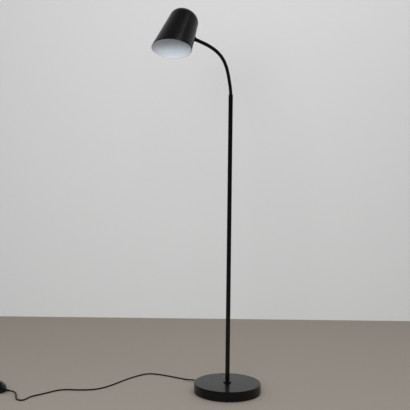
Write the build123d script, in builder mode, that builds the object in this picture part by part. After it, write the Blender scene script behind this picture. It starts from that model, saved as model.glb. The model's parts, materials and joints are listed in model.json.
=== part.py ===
# Gooseneck reading floor lamp, in millimetres.
# Origin: centre of the base's underside, on the floor. +Z is up. The gooseneck curves in the
# XZ plane towards -X. The supply lead leaves the base, lies on the floor, passes a foot switch
# and ends in a put-away coil with its plug.
from build123d import *
from math import asin, cos, degrees, pi, radians, sin, sqrt, tan
import os

os.makedirs("parts", exist_ok=True)

# ================ driving dimensions ================
# base
base_radius = 120.0
base_height = 35.0
base_edge_radius = 3.0
cover_wall = 1.5
pad_thickness = 2.0
pad_inset = 4.0
plate_thickness = 1.2
weight_clearance = 0.6
plate_screw_circle_radius = 96.0
plate_screw_radius = 1.9
plate_screw_head_radius = 3.4
plate_screw_length = 10.0
plate_screw_taper = 45.0
nut_pocket_radius = 22.0
nut_pocket_depth = 25.0
cable_channel_width = 8.0
cable_channel_height = 9.0

# threaded tube, washers and nut that hold the pole
stud_radius = 5.0
stud_bore_radius = 3.5
stud_clearance = 0.4
thread_clearance = 0.05
stud_into_pole = 22.0
stud_tail = 2.0
washer_radius = 16.0
washer_thickness = 2.0
lock_washer_radius = 9.0
lock_washer_thickness = 1.2
nut_flats = 17.0
nut_height = 6.0

# pole
collar_radius = 14.5
collar_height = 4.0
collar_edge_radius = 1.5
pole_radius = 8.0
pole_wall = 1.2
pole_top = 1018.0
foot_plug_height = 24.0
press_clearance = 0.05
coupler_height = 52.0
coupler_spigot = 22.0
coupler_bore_radius = 4.5
coupler_edge = 0.6
neck_tail = 24.0
set_screw_radius = 2.0
set_screw_drop = 14.0

# gooseneck: ribbed lengths in a row, each bent by its own angle as the lamp stands
rib_radius = 6.5
groove_radius = 5.5
neck_bore_radius = 3.6
rib_pitch = 3.1
rib_crest = 1.15
rib_flank = 0.25
ribs_per_length = 7
neck_bends = [9.5, 2.0, 1.0, 4.5, 8.5, 12.0, 13.5, 10.5, 7.5, 5.0, 3.0, 0.0]
bore_spans = 3

# shade: a spun shell with a slanted mouth, held at its side
shade_mouth_radius = 65.8
shade_length = 157.0
shade_taper = 6.6
shade_wall = 1.2
shoulder_radius = 31.0
crown_radius = 150.0
mouth_slant = 17.8
fixing_height = 73.8
shade_lean = 13.4
shade_twist = 11.8
end_flange_radius = 9.5
end_flange_length = 6.0
end_stud_radius = 5.0
end_stud_bore_radius = 3.4
end_stud_length = 13.0
saddle_radius = 9.0
saddle_thickness = 3.0
end_nut_flats = 14.0
end_nut_height = 4.0

# lampholder and its bracket
bracket_width = 18.0
bracket_thickness = 2.0
bracket_headroom = 13.0
bracket_reach = 13.0
bracket_foot = 8.5
bracket_bend_radius = 2.5
holder_nipple_length = 14.0
holder_nut_height = 3.5
holder_cap_radius = 18.5
holder_cap_height = 20.0
holder_cap_wall = 2.5
holder_radius = 20.0
holder_body_height = 36.0
holder_floor = 6.0
thread_shell_radius = 13.3
thread_shell_wall = 0.6
thread_shell_length = 24.0
thread_shell_inset = 2.0
contact_radius = 4.0
contact_height = 3.0
cable_entry_drop = 11.0
cable_entry_radius = 7.5
cable_rise_offset = 30.0
terminal_length = 6.0
terminal_width = 8.0
terminal_height = 6.0
terminal_spacing = 12.0

# supply lead and its strain relief at the base
lead_radius = 2.6
floor_gap = 0.1
lead_straight = 23.0
lead_exit_azimuth = 107.0
lead_exit_height = 8.5
relief_neck_radius = 4.2
relief_fit = 0.2
relief_root_radius = 5.2
relief_tip_radius = 3.3
relief_flange = 1.3
relief_length = 27.0
cable_turn_radius = 9.0

# foot switch
switch_x = -727.0
switch_y = 387.0
switch_heading = 130.0
switch_radius = 36.0
switch_height = 28.0
switch_shoulder = 9.0
switch_ring_radius = 28.0
switch_wall = 2.2
switch_floor = 3.0
foot_height = 1.5
foot_radius = 5.0
foot_circle_radius = 24.0
switch_lead_height = 10.0
switch_relief_length = 20.0
relief_setback = 0.9
boss_circle_radius = 28.8
boss_radius = 3.2
screw_radius = 1.4
screw_head_radius = 2.8
screw_head_height = 1.4
screw_length = 11.0
button_radius = 22.0
button_gap = 0.5
button_top = 36.0
button_edge_radius = 5.0
button_wall = 2.2
button_flange = 3.0
button_flange_height = 2.5
button_stop_gap = 0.05
button_travel = 4.0
button_pin_radius = 3.5
block_length = 26.0
block_width = 18.0
block_height = 9.5
spring_radius = 5.0
spring_wire_radius = 0.5
spring_turns = 4

# put-away coil, its tie and the plug
coil_turns_each_layer = 2
coil_core_radius = 21.25
coil_gap = 0.6
coil_lead_in = 75.0
coil_lead_out = 35.0
tie_thickness = 0.9
tie_width = 7.0
tie_clearance = 0.5
tie_slack = 0.05
tie_corner = 2.0
tie_azimuth = 130.0
plug_length = 34.0
plug_taper_length = 14.0
plug_width = 35.3
plug_height = 13.7
plug_corner = 4.5
plug_neck_width = 14.0
plug_neck_height = 10.0
plug_relief_length = 22.0
pin_radius = 2.0
pin_length = 19.0
pin_seat = 6.0
pin_spacing = 18.6

# ================ sizes that follow from them ================
lead_lie = lead_radius + floor_gap
plate_top = pad_thickness + plate_thickness
cover_ceiling = base_height - cover_wall
weight_radius = base_radius - cover_wall - weight_clearance
pocket_ceiling = plate_top + nut_pocket_depth
nut_top = pocket_ceiling - washer_thickness - lock_washer_thickness
stud_bottom = nut_top - nut_height - stud_tail
pole_foot = base_height + collar_height
pole_bore_radius = pole_radius - pole_wall
neck_base = pole_top + coupler_height
bracket_top = shade_length - bracket_headroom
length_pitch = rib_pitch * ribs_per_length
neck_length = length_pitch * len(neck_bends)


def polar(azimuth, radius, height=0.0):
    return Vector(radius * cos(radians(azimuth)), radius * sin(radians(azimuth)), height)


# ================ base ================
with BuildPart() as base_cover:
    with BuildSketch(Plane.XY.offset(pad_thickness)):
        Circle(base_radius)
    extrude(amount=base_height - pad_thickness)
    fillet(base_cover.edges().group_by(Axis.Z)[-1], base_edge_radius)
    offset(amount=-cover_wall, openings=base_cover.faces().sort_by(Axis.Z)[0])
    with BuildSketch(Plane.XY.offset(base_height)):
        Circle(stud_radius + stud_clearance)
    extrude(amount=-2 * cover_wall, mode=Mode.SUBTRACT)
    # open-ended notch for the lead's strain relief
    exit_plane = Plane(
        origin=polar(lead_exit_azimuth, base_radius, lead_exit_height),
        x_dir=(0, 0, 1),
        z_dir=polar(lead_exit_azimuth, 1),
    )
    with BuildSketch(exit_plane.offset(-2 * cover_wall)):
        Circle(relief_neck_radius + relief_fit)
        with Locations((-lead_exit_height / 2, 0)):
            Rectangle(lead_exit_height, 2 * (relief_neck_radius + relief_fit))
    extrude(amount=3 * cover_wall, mode=Mode.SUBTRACT)
base_cover.part.label = "base_cover"
export_step(base_cover.part, "parts/base_cover.step")

with BuildPart() as base_weight:
    with BuildSketch(Plane.XY.offset(plate_top)):
        Circle(weight_radius)
        Circle(stud_radius + stud_clearance, mode=Mode.SUBTRACT)
    extrude(amount=cover_ceiling - plate_top)
    rim = base_weight.edges().group_by(Axis.Z)[-1].sort_by(SortBy.RADIUS)[-1]
    chamfer(rim, base_edge_radius)
    with BuildSketch(Plane.XY.offset(plate_top)):
        Circle(nut_pocket_radius)
    extrude(amount=nut_pocket_depth, mode=Mode.SUBTRACT)
    with BuildSketch(Plane.XY.offset(plate_top)):
        with Locations(polar(lead_exit_azimuth, base_radius / 2)):
            Rectangle(base_radius, cable_channel_width, rotation=lead_exit_azimuth)
    extrude(amount=cable_channel_height, mode=Mode.SUBTRACT)
    with BuildSketch(Plane.XY.offset(plate_top)):
        with Locations(polar(lead_exit_azimuth, base_radius - cover_wall)):
            Rectangle(4 * cover_wall, 2 * relief_root_radius + 1, rotation=lead_exit_azimuth)
    extrude(amount=lead_exit_height + relief_root_radius + 1 - plate_top, mode=Mode.SUBTRACT)
    with BuildSketch(Plane.XY.offset(plate_top)):
        with PolarLocations(plate_screw_circle_radius, 3, start_angle=lead_exit_azimuth + 60):
            Circle(plate_screw_radius + thread_clearance)
    extrude(amount=plate_screw_length, mode=Mode.SUBTRACT)
base_weight.part.label = "base_weight"
export_step(base_weight.part, "parts/base_weight.step")

with BuildPart() as base_plate:
    with BuildSketch(Plane.XY.offset(pad_thickness)):
        Circle(weight_radius)
    extrude(amount=plate_thickness)
    with BuildSketch(Plane.XY.offset(pad_thickness)):
        with PolarLocations(plate_screw_circle_radius, 3, start_angle=lead_exit_azimuth + 60):
            Circle(plate_screw_head_radius + thread_clearance)
    extrude(amount=plate_thickness, taper=plate_screw_taper, mode=Mode.SUBTRACT)
base_plate.part.label = "base_plate"
export_step(base_plate.part, "parts/base_plate.step")

with BuildPart() as base_screws:
    with BuildSketch(Plane.XY.offset(pad_thickness)):
        with PolarLocations(plate_screw_circle_radius, 3, start_angle=lead_exit_azimuth + 60):
            Circle(plate_screw_head_radius)
    extrude(amount=plate_thickness, taper=plate_screw_taper)
    with BuildSketch(Plane.XY.offset(pad_thickness)):
        with PolarLocations(plate_screw_circle_radius, 3, start_angle=lead_exit_azimuth + 60):
            Circle(plate_screw_radius)
    extrude(amount=plate_thickness + plate_screw_length)
base_screws.part.label = "base_screws"
export_step(base_screws.part, "parts/base_screws.step")

with BuildPart() as base_pad:
    with BuildSketch():
        Circle(base_radius - pad_inset)
    extrude(amount=pad_thickness)
base_pad.part.label = "base_pad"
export_step(base_pad.part, "parts/base_pad.step")

# strain relief: a flange behind the wall, a neck through it and a tapered tail outside
with BuildPart() as lead_relief:
    with BuildSketch(exit_plane.offset(-cover_wall - relief_fit)):
        Circle(relief_root_radius)
    extrude(amount=-relief_flange)
    with BuildSketch(exit_plane.offset(-cover_wall - relief_fit)):
        Circle(relief_neck_radius)
    extrude(amount=cover_wall + 2 * relief_fit)
    with BuildSketch(exit_plane.offset(relief_fit)):
        Circle(relief_root_radius)
    with BuildSketch(exit_plane.offset(relief_length)):
        Circle(relief_tip_radius)
    loft()
lead_relief.part.label = "lead_relief"
export_step(lead_relief.part, "parts/lead_relief.step")

# ================ pole and what holds it ================
with BuildPart() as pole_collar:
    with BuildSketch(Plane.XY.offset(base_height)):
        Circle(collar_radius)
    extrude(amount=collar_height)
    fillet(pole_collar.edges().group_by(Axis.Z)[-1], collar_edge_radius)
    Hole(stud_radius + stud_clearance)
pole_collar.part.label = "pole_collar"
export_step(pole_collar.part, "parts/pole_collar.step")

with BuildPart() as pole_stud:
    with BuildSketch(Plane.XY.offset(stud_bottom)):
        Circle(stud_radius)
        Circle(stud_bore_radius, mode=Mode.SUBTRACT)
    extrude(amount=pole_foot + stud_into_pole - stud_bottom)
    outer_ends = pole_stud.edges().filter_by(GeomType.CIRCLE).filter_by(lambda e: e.radius == stud_radius)
    chamfer(outer_ends, 0.6)
pole_stud.part.label = "pole_stud"
export_step(pole_stud.part, "parts/pole_stud.step")

with BuildPart() as pole_washer:
    with BuildSketch(Plane.XY.offset(pocket_ceiling - washer_thickness)):
        Circle(washer_radius)
        Circle(stud_radius + stud_clearance, mode=Mode.SUBTRACT)
    extrude(amount=washer_thickness)
pole_washer.part.label = "pole_washer"
export_step(pole_washer.part, "parts/pole_washer.step")

# split spring washer
with BuildPart() as pole_lock_washer:
    with BuildSketch(Plane.XY.offset(nut_top)):
        Circle(lock_washer_radius)
        Circle(stud_radius + stud_clearance, mode=Mode.SUBTRACT)
        with Locations((lock_washer_radius, 0)):
            Rectangle(2 * lock_washer_radius - 2 * stud_radius, 1.0, rotation=20, mode=Mode.SUBTRACT)
    extrude(amount=lock_washer_thickness)
pole_lock_washer.part.label = "pole_lock_washer"
export_step(pole_lock_washer.part, "parts/pole_lock_washer.step")

with BuildPart() as pole_nut:
    with BuildSketch(Plane.XY.offset(nut_top - nut_height)):
        RegularPolygon(nut_flats / 2, 6, major_radius=False)
        Circle(stud_radius + thread_clearance, mode=Mode.SUBTRACT)
    extrude(amount=nut_height)
pole_nut.part.label = "pole_nut"
export_step(pole_nut.part, "parts/pole_nut.step")

with BuildPart() as pole:
    with BuildSketch(Plane.XY.offset(pole_foot)):
        Circle(pole_radius)
        Circle(pole_bore_radius, mode=Mode.SUBTRACT)
    extrude(amount=pole_top - pole_foot)
pole.part.label = "pole"
export_step(pole.part, "parts/pole.step")

with BuildPart() as pole_foot_plug:
    with BuildSketch(Plane.XY.offset(pole_foot)):
        Circle(pole_bore_radius - press_clearance)
        Circle(stud_radius + thread_clearance, mode=Mode.SUBTRACT)
    extrude(amount=foot_plug_height)
pole_foot_plug.part.label = "pole_foot_plug"
export_step(pole_foot_plug.part, "parts/pole_foot_plug.step")

# coupler: spigot down the pole, bore above for the gooseneck's plain tail
with BuildPart() as neck_coupler:
    with BuildSketch(Plane.XY.offset(pole_top)):
        Circle(pole_radius)
    extrude(amount=coupler_height)
    chamfer(neck_coupler.edges().group_by(Axis.Z)[-1], coupler_edge)
    with BuildSketch(Plane.XY.offset(pole_top)):
        Circle(pole_bore_radius - press_clearance)
    extrude(amount=-coupler_spigot)
    with BuildSketch(Plane.XY.offset(pole_top - coupler_spigot)):
        Circle(coupler_bore_radius)
    extrude(amount=coupler_spigot + coupler_height, mode=Mode.SUBTRACT)
    with BuildSketch(Plane.XY.offset(neck_base)):
        Circle(groove_radius + press_clearance)
    extrude(amount=-neck_tail, mode=Mode.SUBTRACT)
    screw_plane = Plane(origin=(0, pole_radius, neck_base - set_screw_drop), x_dir=(1, 0, 0), z_dir=(0, 1, 0))
    with BuildSketch(screw_plane):
        Circle(set_screw_radius + thread_clearance)
    extrude(amount=-(pole_radius - groove_radius), mode=Mode.SUBTRACT)
neck_coupler.part.label = "neck_coupler"
export_step(neck_coupler.part, "parts/neck_coupler.step")

with BuildPart() as neck_set_screw:
    with BuildSketch(screw_plane.offset(-0.4)):
        Circle(set_screw_radius)
    extrude(amount=-(pole_radius - groove_radius - 0.4))
    with BuildSketch(screw_plane.offset(-0.4)):
        RegularPolygon(1.0, 6, major_radius=False)
    extrude(amount=-1.2, mode=Mode.SUBTRACT)
neck_set_screw.part.label = "neck_set_screw"
export_step(neck_set_screw.part, "parts/neck_set_screw.step")


# ================ gooseneck ================
def neck_plane(distance):
    """Plane square to the gooseneck's centreline, this far above its lower end."""
    x, z, lean = 0.0, neck_base, 0.0
    if distance < 0:
        z += distance
        distance = 0.0
    for bend in neck_bends:
        step = min(distance, length_pitch)
        turn = radians(bend) * step / length_pitch
        chord = step if turn == 0 else 2 * step / turn * sin(turn / 2)
        x -= chord * sin(lean + turn / 2)
        z += chord * cos(lean + turn / 2)
        lean += turn
        distance -= step
    x -= distance * sin(lean)
    z += distance * cos(lean)
    return Plane(origin=(x, 0, z), x_dir=(0, 1, 0), z_dir=(-sin(lean), 0, cos(lean)))


for index in range(len(neck_bends)):
    start = index * length_pitch
    stations = []
    for rib in range(ribs_per_length):
        middle = start + (rib + 0.5) * rib_pitch
        stations.append((middle - rib_crest / 2 - rib_flank, groove_radius))
        stations.append((middle - rib_crest / 2, rib_radius))
        stations.append((middle + rib_crest / 2, rib_radius))
        stations.append((middle + rib_crest / 2 + rib_flank, groove_radius))
    if index == 0:
        stations.insert(0, (-neck_tail, groove_radius))
    if index == len(neck_bends) - 1:
        stations.append((neck_length, groove_radius))
    low, high = stations[0][0], stations[-1][0]
    with BuildPart() as neck_piece:
        for distance, radius in stations:
            with BuildSketch(neck_plane(distance)):
                Circle(radius)
        loft(ruled=True)
        for step in range(bore_spans + 1):
            with BuildSketch(neck_plane(low - 0.5 + (high - low + 1) * step / bore_spans)):
                Circle(neck_bore_radius)
        loft(ruled=True, mode=Mode.SUBTRACT)
    name = f"gooseneck_{index + 1:02d}"
    neck_piece.part.label = name
    export_step(neck_piece.part, f"parts/{name}.step")

with BuildPart() as neck_cable:
    with BuildLine():
        for index, bend in enumerate(neck_bends):
            low, high = neck_plane(index * length_pitch), neck_plane((index + 1) * length_pitch)
            if bend:
                TangentArc(low.origin, high.origin, tangent=low.z_dir)
            else:
                Line(low.origin, high.origin)
    with BuildSketch(neck_plane(0)):
        Circle(lead_radius)
    sweep()
neck_cable.part.label = "neck_cable"
export_step(neck_cable.part, "parts/neck_cable.step")

# ================ shade ================
# The gooseneck's axis crosses the shade's axis; the shade hangs square to it, leaned and twisted.
neck_end = neck_plane(neck_length)
wall_plane = neck_plane(neck_length + end_flange_length)
taper = tan(radians(shade_taper))
lean = radians(shade_lean)
wall_to_axis = (shade_mouth_radius - fixing_height * taper) / (cos(lean) + sin(lean) * taper)
axes_meet = wall_plane.origin + wall_plane.z_dir * wall_to_axis
leaned_down = wall_plane.y_dir * cos(lean) + wall_plane.z_dir * sin(lean)
mouth_dir = leaned_down.rotate(Axis((0, 0, 0), wall_plane.z_dir), shade_twist)
shade_up = mouth_dir * -1
mouth_centre = axes_meet + mouth_dir * fixing_height
across = (wall_plane.z_dir - mouth_dir * sin(lean)).normalized()
shade_plane = Plane(origin=mouth_centre, x_dir=across, z_dir=shade_up)
section_plane = Plane(origin=mouth_centre, x_dir=across, z_dir=across.cross(shade_up))
shade_axis = Axis(mouth_centre, shade_up)
slant = tan(radians(mouth_slant))
skirt = 1.3 * shade_mouth_radius * slant


def shade_section(inset, below=0.0):
    """Half section of the shade's form, this far inside its outer face."""
    foot_height = -skirt - below
    foot_radius = shade_mouth_radius - taper * foot_height - inset / cos(radians(shade_taper))
    with BuildSketch(section_plane) as section:
        with BuildLine():
            crown_middle = (0, shade_length - crown_radius)
            whole_crown = CenterArc(crown_middle, crown_radius - inset, 0, 90, mode=Mode.PRIVATE)
            side = IntersectingLine((foot_radius, foot_height), (-taper, 1), whole_crown)
            RadiusArc(side @ 1, whole_crown @ 1, inset - crown_radius)
            Polyline(whole_crown @ 1, (0, foot_height), side @ 0)
        make_face()
        fillet(section.vertices().sort_by_distance(section_plane.from_local_coords(side @ 1))[0],
               shoulder_radius - inset)
    return section.sketch


with BuildPart() as shade:
    revolve(shade_section(0), axis=shade_axis)
    revolve(shade_section(shade_wall, below=shade_wall), axis=shade_axis, mode=Mode.SUBTRACT)
    split(bisect_by=Plane(mouth_centre, x_dir=shade_plane.y_dir, z_dir=shade_up + across * slant))
    with BuildSketch(wall_plane.offset(-end_flange_length)):
        Circle(end_stud_radius + stud_clearance)
    extrude(amount=3 * end_flange_length, mode=Mode.SUBTRACT)
shade.part.label = "shade"
export_step(shade.part, "parts/shade.step")

# end fitting: a flange shaped to the shade's wall and a hollow threaded stud through it
with BuildPart() as neck_end_fitting:
    with BuildSketch(neck_end):
        Circle(end_flange_radius)
    extrude(amount=end_flange_length + end_flange_radius)
    revolve(shade_section(0), axis=shade_axis, mode=Mode.SUBTRACT)
    with BuildSketch(neck_end):
        Circle(end_stud_radius)
    extrude(amount=end_flange_length + end_stud_length)
    with BuildSketch(neck_end):
        Circle(end_stud_bore_radius)
    extrude(amount=end_flange_length + end_stud_length, mode=Mode.SUBTRACT)
neck_end_fitting.part.label = "neck_end_fitting"
export_step(neck_end_fitting.part, "parts/neck_end_fitting.step")

saddle_seat = wall_plane.offset(shade_wall + saddle_thickness)
with BuildPart() as saddle_washer:
    with BuildSketch(saddle_seat):
        Circle(saddle_radius)
    extrude(amount=-2 * saddle_thickness - shade_wall)
    revolve(shade_section(shade_wall), axis=shade_axis, mode=Mode.INTERSECT)
    with BuildSketch(saddle_seat):
        Circle(end_stud_radius + stud_clearance)
    extrude(amount=-3 * saddle_thickness, mode=Mode.SUBTRACT)
saddle_washer.part.label = "saddle_washer"
export_step(saddle_washer.part, "parts/saddle_washer.step")

with BuildPart() as neck_nut:
    with BuildSketch(saddle_seat.offset(bracket_thickness)):
        RegularPolygon(end_nut_flats / 2, 6, major_radius=False)
        Circle(end_stud_radius + thread_clearance, mode=Mode.SUBTRACT)
    extrude(amount=end_nut_height)
neck_nut.part.label = "neck_nut"
export_step(neck_nut.part, "parts/neck_nut.step")

# L-shaped bracket: one leg on the saddle washer, the other square to the shade's axis
seat_point = section_plane.to_local_coords(saddle_seat.origin)
leg_up = Vector(sin(lean), cos(lean))
leg_foot = seat_point - leg_up * bracket_foot
leg_head = seat_point + leg_up * ((bracket_top - seat_point.Y) / leg_up.Y)
with BuildPart() as holder_bracket:
    with BuildSketch(section_plane):
        with BuildLine():
            FilletPolyline(leg_foot, leg_head, (bracket_reach, bracket_top), radius=bracket_bend_radius)
            offset(amount=bracket_thickness, side=Side.RIGHT)
        make_face()
    extrude(amount=bracket_width / 2, both=True)
    with BuildSketch(saddle_seat):
        Circle(end_stud_radius + stud_clearance)
    extrude(amount=2 * bracket_thickness, both=True, mode=Mode.SUBTRACT)
    with BuildSketch(shade_plane.offset(bracket_top)):
        Circle(end_stud_radius + stud_clearance)
    extrude(amount=2 * bracket_thickness, both=True, mode=Mode.SUBTRACT)
holder_bracket.part.label = "holder_bracket"
export_step(holder_bracket.part, "parts/holder_bracket.step")

# ================ lampholder ================
cap_top = bracket_top - bracket_thickness
cap_bottom = cap_top - holder_cap_height
body_bottom = cap_bottom - holder_body_height
shell_bottom = body_bottom + thread_shell_inset
floor_bottom = cap_bottom - holder_floor
entry_height = cap_top - cable_entry_drop

with BuildPart() as holder_nipple:
    with BuildSketch(shade_plane.offset(bracket_top + holder_nut_height + 1)):
        Circle(end_stud_radius)
        Circle(end_stud_bore_radius, mode=Mode.SUBTRACT)
    extrude(amount=-holder_nipple_length)
holder_nipple.part.label = "holder_nipple"
export_step(holder_nipple.part, "parts/holder_nipple.step")

with BuildPart() as holder_nut:
    with BuildSketch(shade_plane.offset(bracket_top)):
        RegularPolygon(end_nut_flats / 2, 6, major_radius=False)
        Circle(end_stud_radius + thread_clearance, mode=Mode.SUBTRACT)
    extrude(amount=holder_nut_height)
holder_nut.part.label = "holder_nut"
export_step(holder_nut.part, "parts/holder_nut.step")

with BuildPart() as holder_cap:
    with BuildSketch(shade_plane.offset(cap_bottom)):
        Circle(holder_cap_radius)
    extrude(amount=holder_cap_height)
    fillet(holder_cap.edges().sort_by(Axis(mouth_centre, shade_up))[-1], holder_cap_wall)
    with BuildSketch(shade_plane.offset(cap_bottom)):
        Circle(holder_cap_radius - holder_cap_wall)
    extrude(amount=holder_cap_height - holder_cap_wall, mode=Mode.SUBTRACT)
    with BuildSketch(shade_plane.offset(cap_top)):
        Circle(end_stud_radius + thread_clearance)
    extrude(amount=-2 * holder_cap_wall, mode=Mode.SUBTRACT)
    entry_point = shade_plane.from_local_coords((0, 0, entry_height))
    with BuildSketch(Plane(entry_point, x_dir=shade_up, z_dir=across * -1)):
        Circle(lead_radius + relief_fit)
    extrude(amount=holder_cap_radius + 1, mode=Mode.SUBTRACT)
holder_cap.part.label = "holder_cap"
export_step(holder_cap.part, "parts/holder_cap.step")

with BuildPart() as holder_body:
    with BuildSketch(shade_plane.offset(body_bottom)):
        Circle(holder_radius)
    extrude(amount=holder_body_height)
    fillet(holder_body.edges().group_by(shade_axis)[0], 1.0)
    with BuildSketch(shade_plane.offset(body_bottom)):
        Circle(thread_shell_radius + thread_shell_wall)
    extrude(amount=holder_body_height - holder_floor, mode=Mode.SUBTRACT)
holder_body.part.label = "holder_body"
export_step(holder_body.part, "parts/holder_body.step")

with BuildPart() as holder_thread_shell:
    with BuildSketch(shade_plane.offset(shell_bottom)):
        Circle(thread_shell_radius + thread_shell_wall)
        Circle(thread_shell_radius, mode=Mode.SUBTRACT)
    extrude(amount=thread_shell_length)
holder_thread_shell.part.label = "holder_thread_shell"
export_step(holder_thread_shell.part, "parts/holder_thread_shell.step")

with BuildPart() as holder_contact:
    with BuildSketch(shade_plane.offset(floor_bottom)):
        Circle(contact_radius)
    extrude(amount=-contact_height)
holder_contact.part.label = "holder_contact"
export_step(holder_contact.part, "parts/holder_contact.step")

with BuildPart() as holder_terminals:
    with BuildSketch(shade_plane.offset(cap_bottom)):
        with GridLocations(0, terminal_spacing, 1, 2):
            Rectangle(terminal_length, terminal_width)
    extrude(amount=terminal_height)
holder_terminals.part.label = "holder_terminals"
export_step(holder_terminals.part, "parts/holder_terminals.step")


# ================ supply lead ================
def lead_route(points, name):
    """Straight runs joined by tangent arcs, each as large as its two runs allow."""
    points = [Vector(point) for point in points]
    runs = [end - start for start, end in zip(points, points[1:])]
    radii = []
    for before, after in zip(runs, runs[1:]):
        half_turn = radians(before.get_angle(after)) / 2
        radii.append(0.45 * min(before.length, after.length) / tan(half_turn))
    with BuildLine() as route:
        FilletPolyline(*points, radius=radii)
    lead_wire = route.wires()[0]
    print(name, f"length {lead_wire.length:.1f}, radii", [round(radius, 1) for radius in radii])
    return lead_wire


def export_lead(route, name):
    """Round lead along a route; its volume is compared with section times length."""
    with BuildPart() as lead:
        with BuildSketch(Plane(route @ 0, z_dir=route % 0)):
            Circle(lead_radius)
        sweep(path=route)
    expected = pi * lead_radius**2 * route.length
    print(name, f"volume / (section x length) = {lead.part.volume / expected:.5f}")
    lead.part.label = name
    export_step(lead.part, f"parts/{name}.step")


def arc_route(knots):
    """Pairs of arcs through points, tangent to the direction given at each point."""
    with BuildLine() as route:
        for (start, start_dir), (end, end_dir) in zip(knots, knots[1:]):
            chord, both = end - start, start_dir + end_dir
            if (chord.normalized() - start_dir).length < 1e-6:
                Line(start, end)
                continue
            along, span = chord.dot(both), chord.length**2
            reach = span / (along + sqrt(along**2 + 2 * (1 - start_dir.dot(end_dir)) * span))
            middle = (start + end + (start_dir - end_dir) * reach) * 0.5
            middle_dir = (end - end_dir * reach - start - start_dir * reach).normalized()
            TangentArc(start, middle, tangent=start_dir)
            TangentArc(middle, end, tangent=middle_dir)
    return route.wires()[0]


def knot_on(point_at, turn):
    """A winding's point, this many turns along it, with its direction there."""
    return point_at(turn), (point_at(turn + 0.01) - point_at(turn - 0.01)).normalized()


# inside the base and the pole, up to the gooseneck
inner_start = base_radius - cover_wall - relief_fit - relief_flange
with BuildLine() as inner_line:
    FilletPolyline(
        polar(lead_exit_azimuth, inner_start, lead_exit_height),
        (0, 0, lead_exit_height),
        (0, 0, neck_base),
        radius=cable_turn_radius,
    )
export_lead(inner_line.wires()[0], "inner_cable")

# inside the shade: out of the stud, up behind the holder and into its cap
stud_mouth = section_plane.to_local_coords(neck_end.origin)
neck_way = Vector(cos(lean), -sin(lean))
rise_at = stud_mouth + neck_way * ((-cable_rise_offset - stud_mouth.X) / neck_way.X)
shade_cable_points = [
    stud_mouth,
    rise_at,
    (-cable_rise_offset, entry_height),
    (terminal_length - holder_cap_radius, entry_height),
]
with BuildLine() as shade_line:
    FilletPolyline(
        *[section_plane.from_local_coords(point) for point in shade_cable_points],
        radius=[cable_turn_radius, cable_entry_radius],
    )
export_lead(shade_line.wires()[0], "shade_cable")

# on the floor, from the base's strain relief to the foot switch
relief_tip = polar(lead_exit_azimuth, base_radius + relief_length, lead_exit_height)
heading = polar(switch_heading, 1)
switch_plane = Plane((switch_x, switch_y, 0), x_dir=heading)
inlet_tip = switch_plane.from_local_coords((-switch_radius - switch_relief_length, 0, switch_lead_height))
outlet_tip = switch_plane.from_local_coords((switch_radius + switch_relief_length, 0, switch_lead_height))
export_lead(
    lead_route(
        [
            relief_tip,
            relief_tip + polar(lead_exit_azimuth, lead_straight),
            (-62.0, 196.0, 3.6),
            (-78.0, 236.0, lead_lie),
            (-100.0, 284.0, lead_lie),
            (-131.0, 330.0, lead_lie),
            (-158.0, 346.0, lead_lie),
            (-190.0, 336.0, lead_lie),
            (-240.0, 312.0, lead_lie),
            (-297.0, 288.0, lead_lie),
            (-349.0, 262.0, lead_lie),
            (-392.0, 248.0, lead_lie),
            (-428.0, 250.0, lead_lie),
            (-462.0, 267.0, lead_lie),
            (-498.0, 293.0, lead_lie),
            (-528.0, 302.0, lead_lie),
            (-560.0, 290.0, lead_lie),
            (-598.0, 275.0, lead_lie),
            (-622.0, 266.0, lead_lie),
            (-638.0, 254.5, lead_lie),
            (-653.5, 241.2, lead_lie),
            (-668.5, 241.2, lead_lie),
            (-679.0, 251.7, lead_lie),
            (-678.5, 273.0, lead_lie),
            (-674.5, 299.0, 5.4),
            inlet_tip - heading * lead_straight,
            inlet_tip,
        ],
        "cord_run_a",
    ),
    "cord_run_a",
)

# from the foot switch to the put-away coil
coil_start = Vector(outlet_tip.X, outlet_tip.Y, lead_lie) + heading * coil_lead_in
coil_stub = 2 * lead_radius
export_lead(
    lead_route(
        [
            outlet_tip,
            outlet_tip + heading * 14,
            outlet_tip + heading * 32 - Vector(0, 0, 4.4),
            outlet_tip + heading * 52 - Vector(0, 0, switch_lead_height - lead_lie),
            coil_start - heading * coil_stub,
        ],
        "cord_run_b",
    ),
    "cord_run_b",
)

# put-away coil: spirals in on the floor, climbs one layer, spirals out on top
coil_pitch = 2 * lead_radius + coil_gap
coil_turns = 2 * coil_turns_each_layer + 0.5
coil_outer_radius = coil_core_radius + coil_pitch * coil_turns / 2
coil_bearing = switch_heading - 90
coil_centre = coil_start - polar(coil_bearing, coil_outer_radius, lead_lie)
coil_lift = tie_thickness + tie_slack
plug_lie = plug_height / 2 + floor_gap / 2


def coil_point(turn):
    """Centre of the lead, this many turns along the coil."""
    radius = coil_core_radius + coil_pitch * abs(turn - coil_turns / 2)
    rise = min(max(4 * turn, 0), 1)
    climb = min(max(2 * (turn - coil_turns_each_layer), 0), 1)
    height = lead_lie + coil_lift * rise**2 * (3 - 2 * rise) + coil_pitch * climb**2 * (3 - 2 * climb)
    return coil_centre + polar(coil_bearing + 360 * turn, radius, height)


plug_heading = polar(coil_bearing + 360 * coil_turns + 90, 1)
plug_tip = coil_point(coil_turns) + plug_heading * coil_lead_out
plug_tip = Vector(plug_tip.X, plug_tip.Y, plug_lie)
coil_knots = [(coil_start - heading * coil_stub, heading), (coil_start, heading)]
for quarter in range(1, round(4 * coil_turns)):
    coil_knots.append(knot_on(coil_point, quarter / 4))
coil_knots += [(coil_point(coil_turns), plug_heading), (plug_tip - plug_heading * coil_stub, plug_heading)]
coil_knots.append((plug_tip, plug_heading))
coil_route = arc_route(coil_knots)
export_lead(coil_route, "cord_coil")

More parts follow.
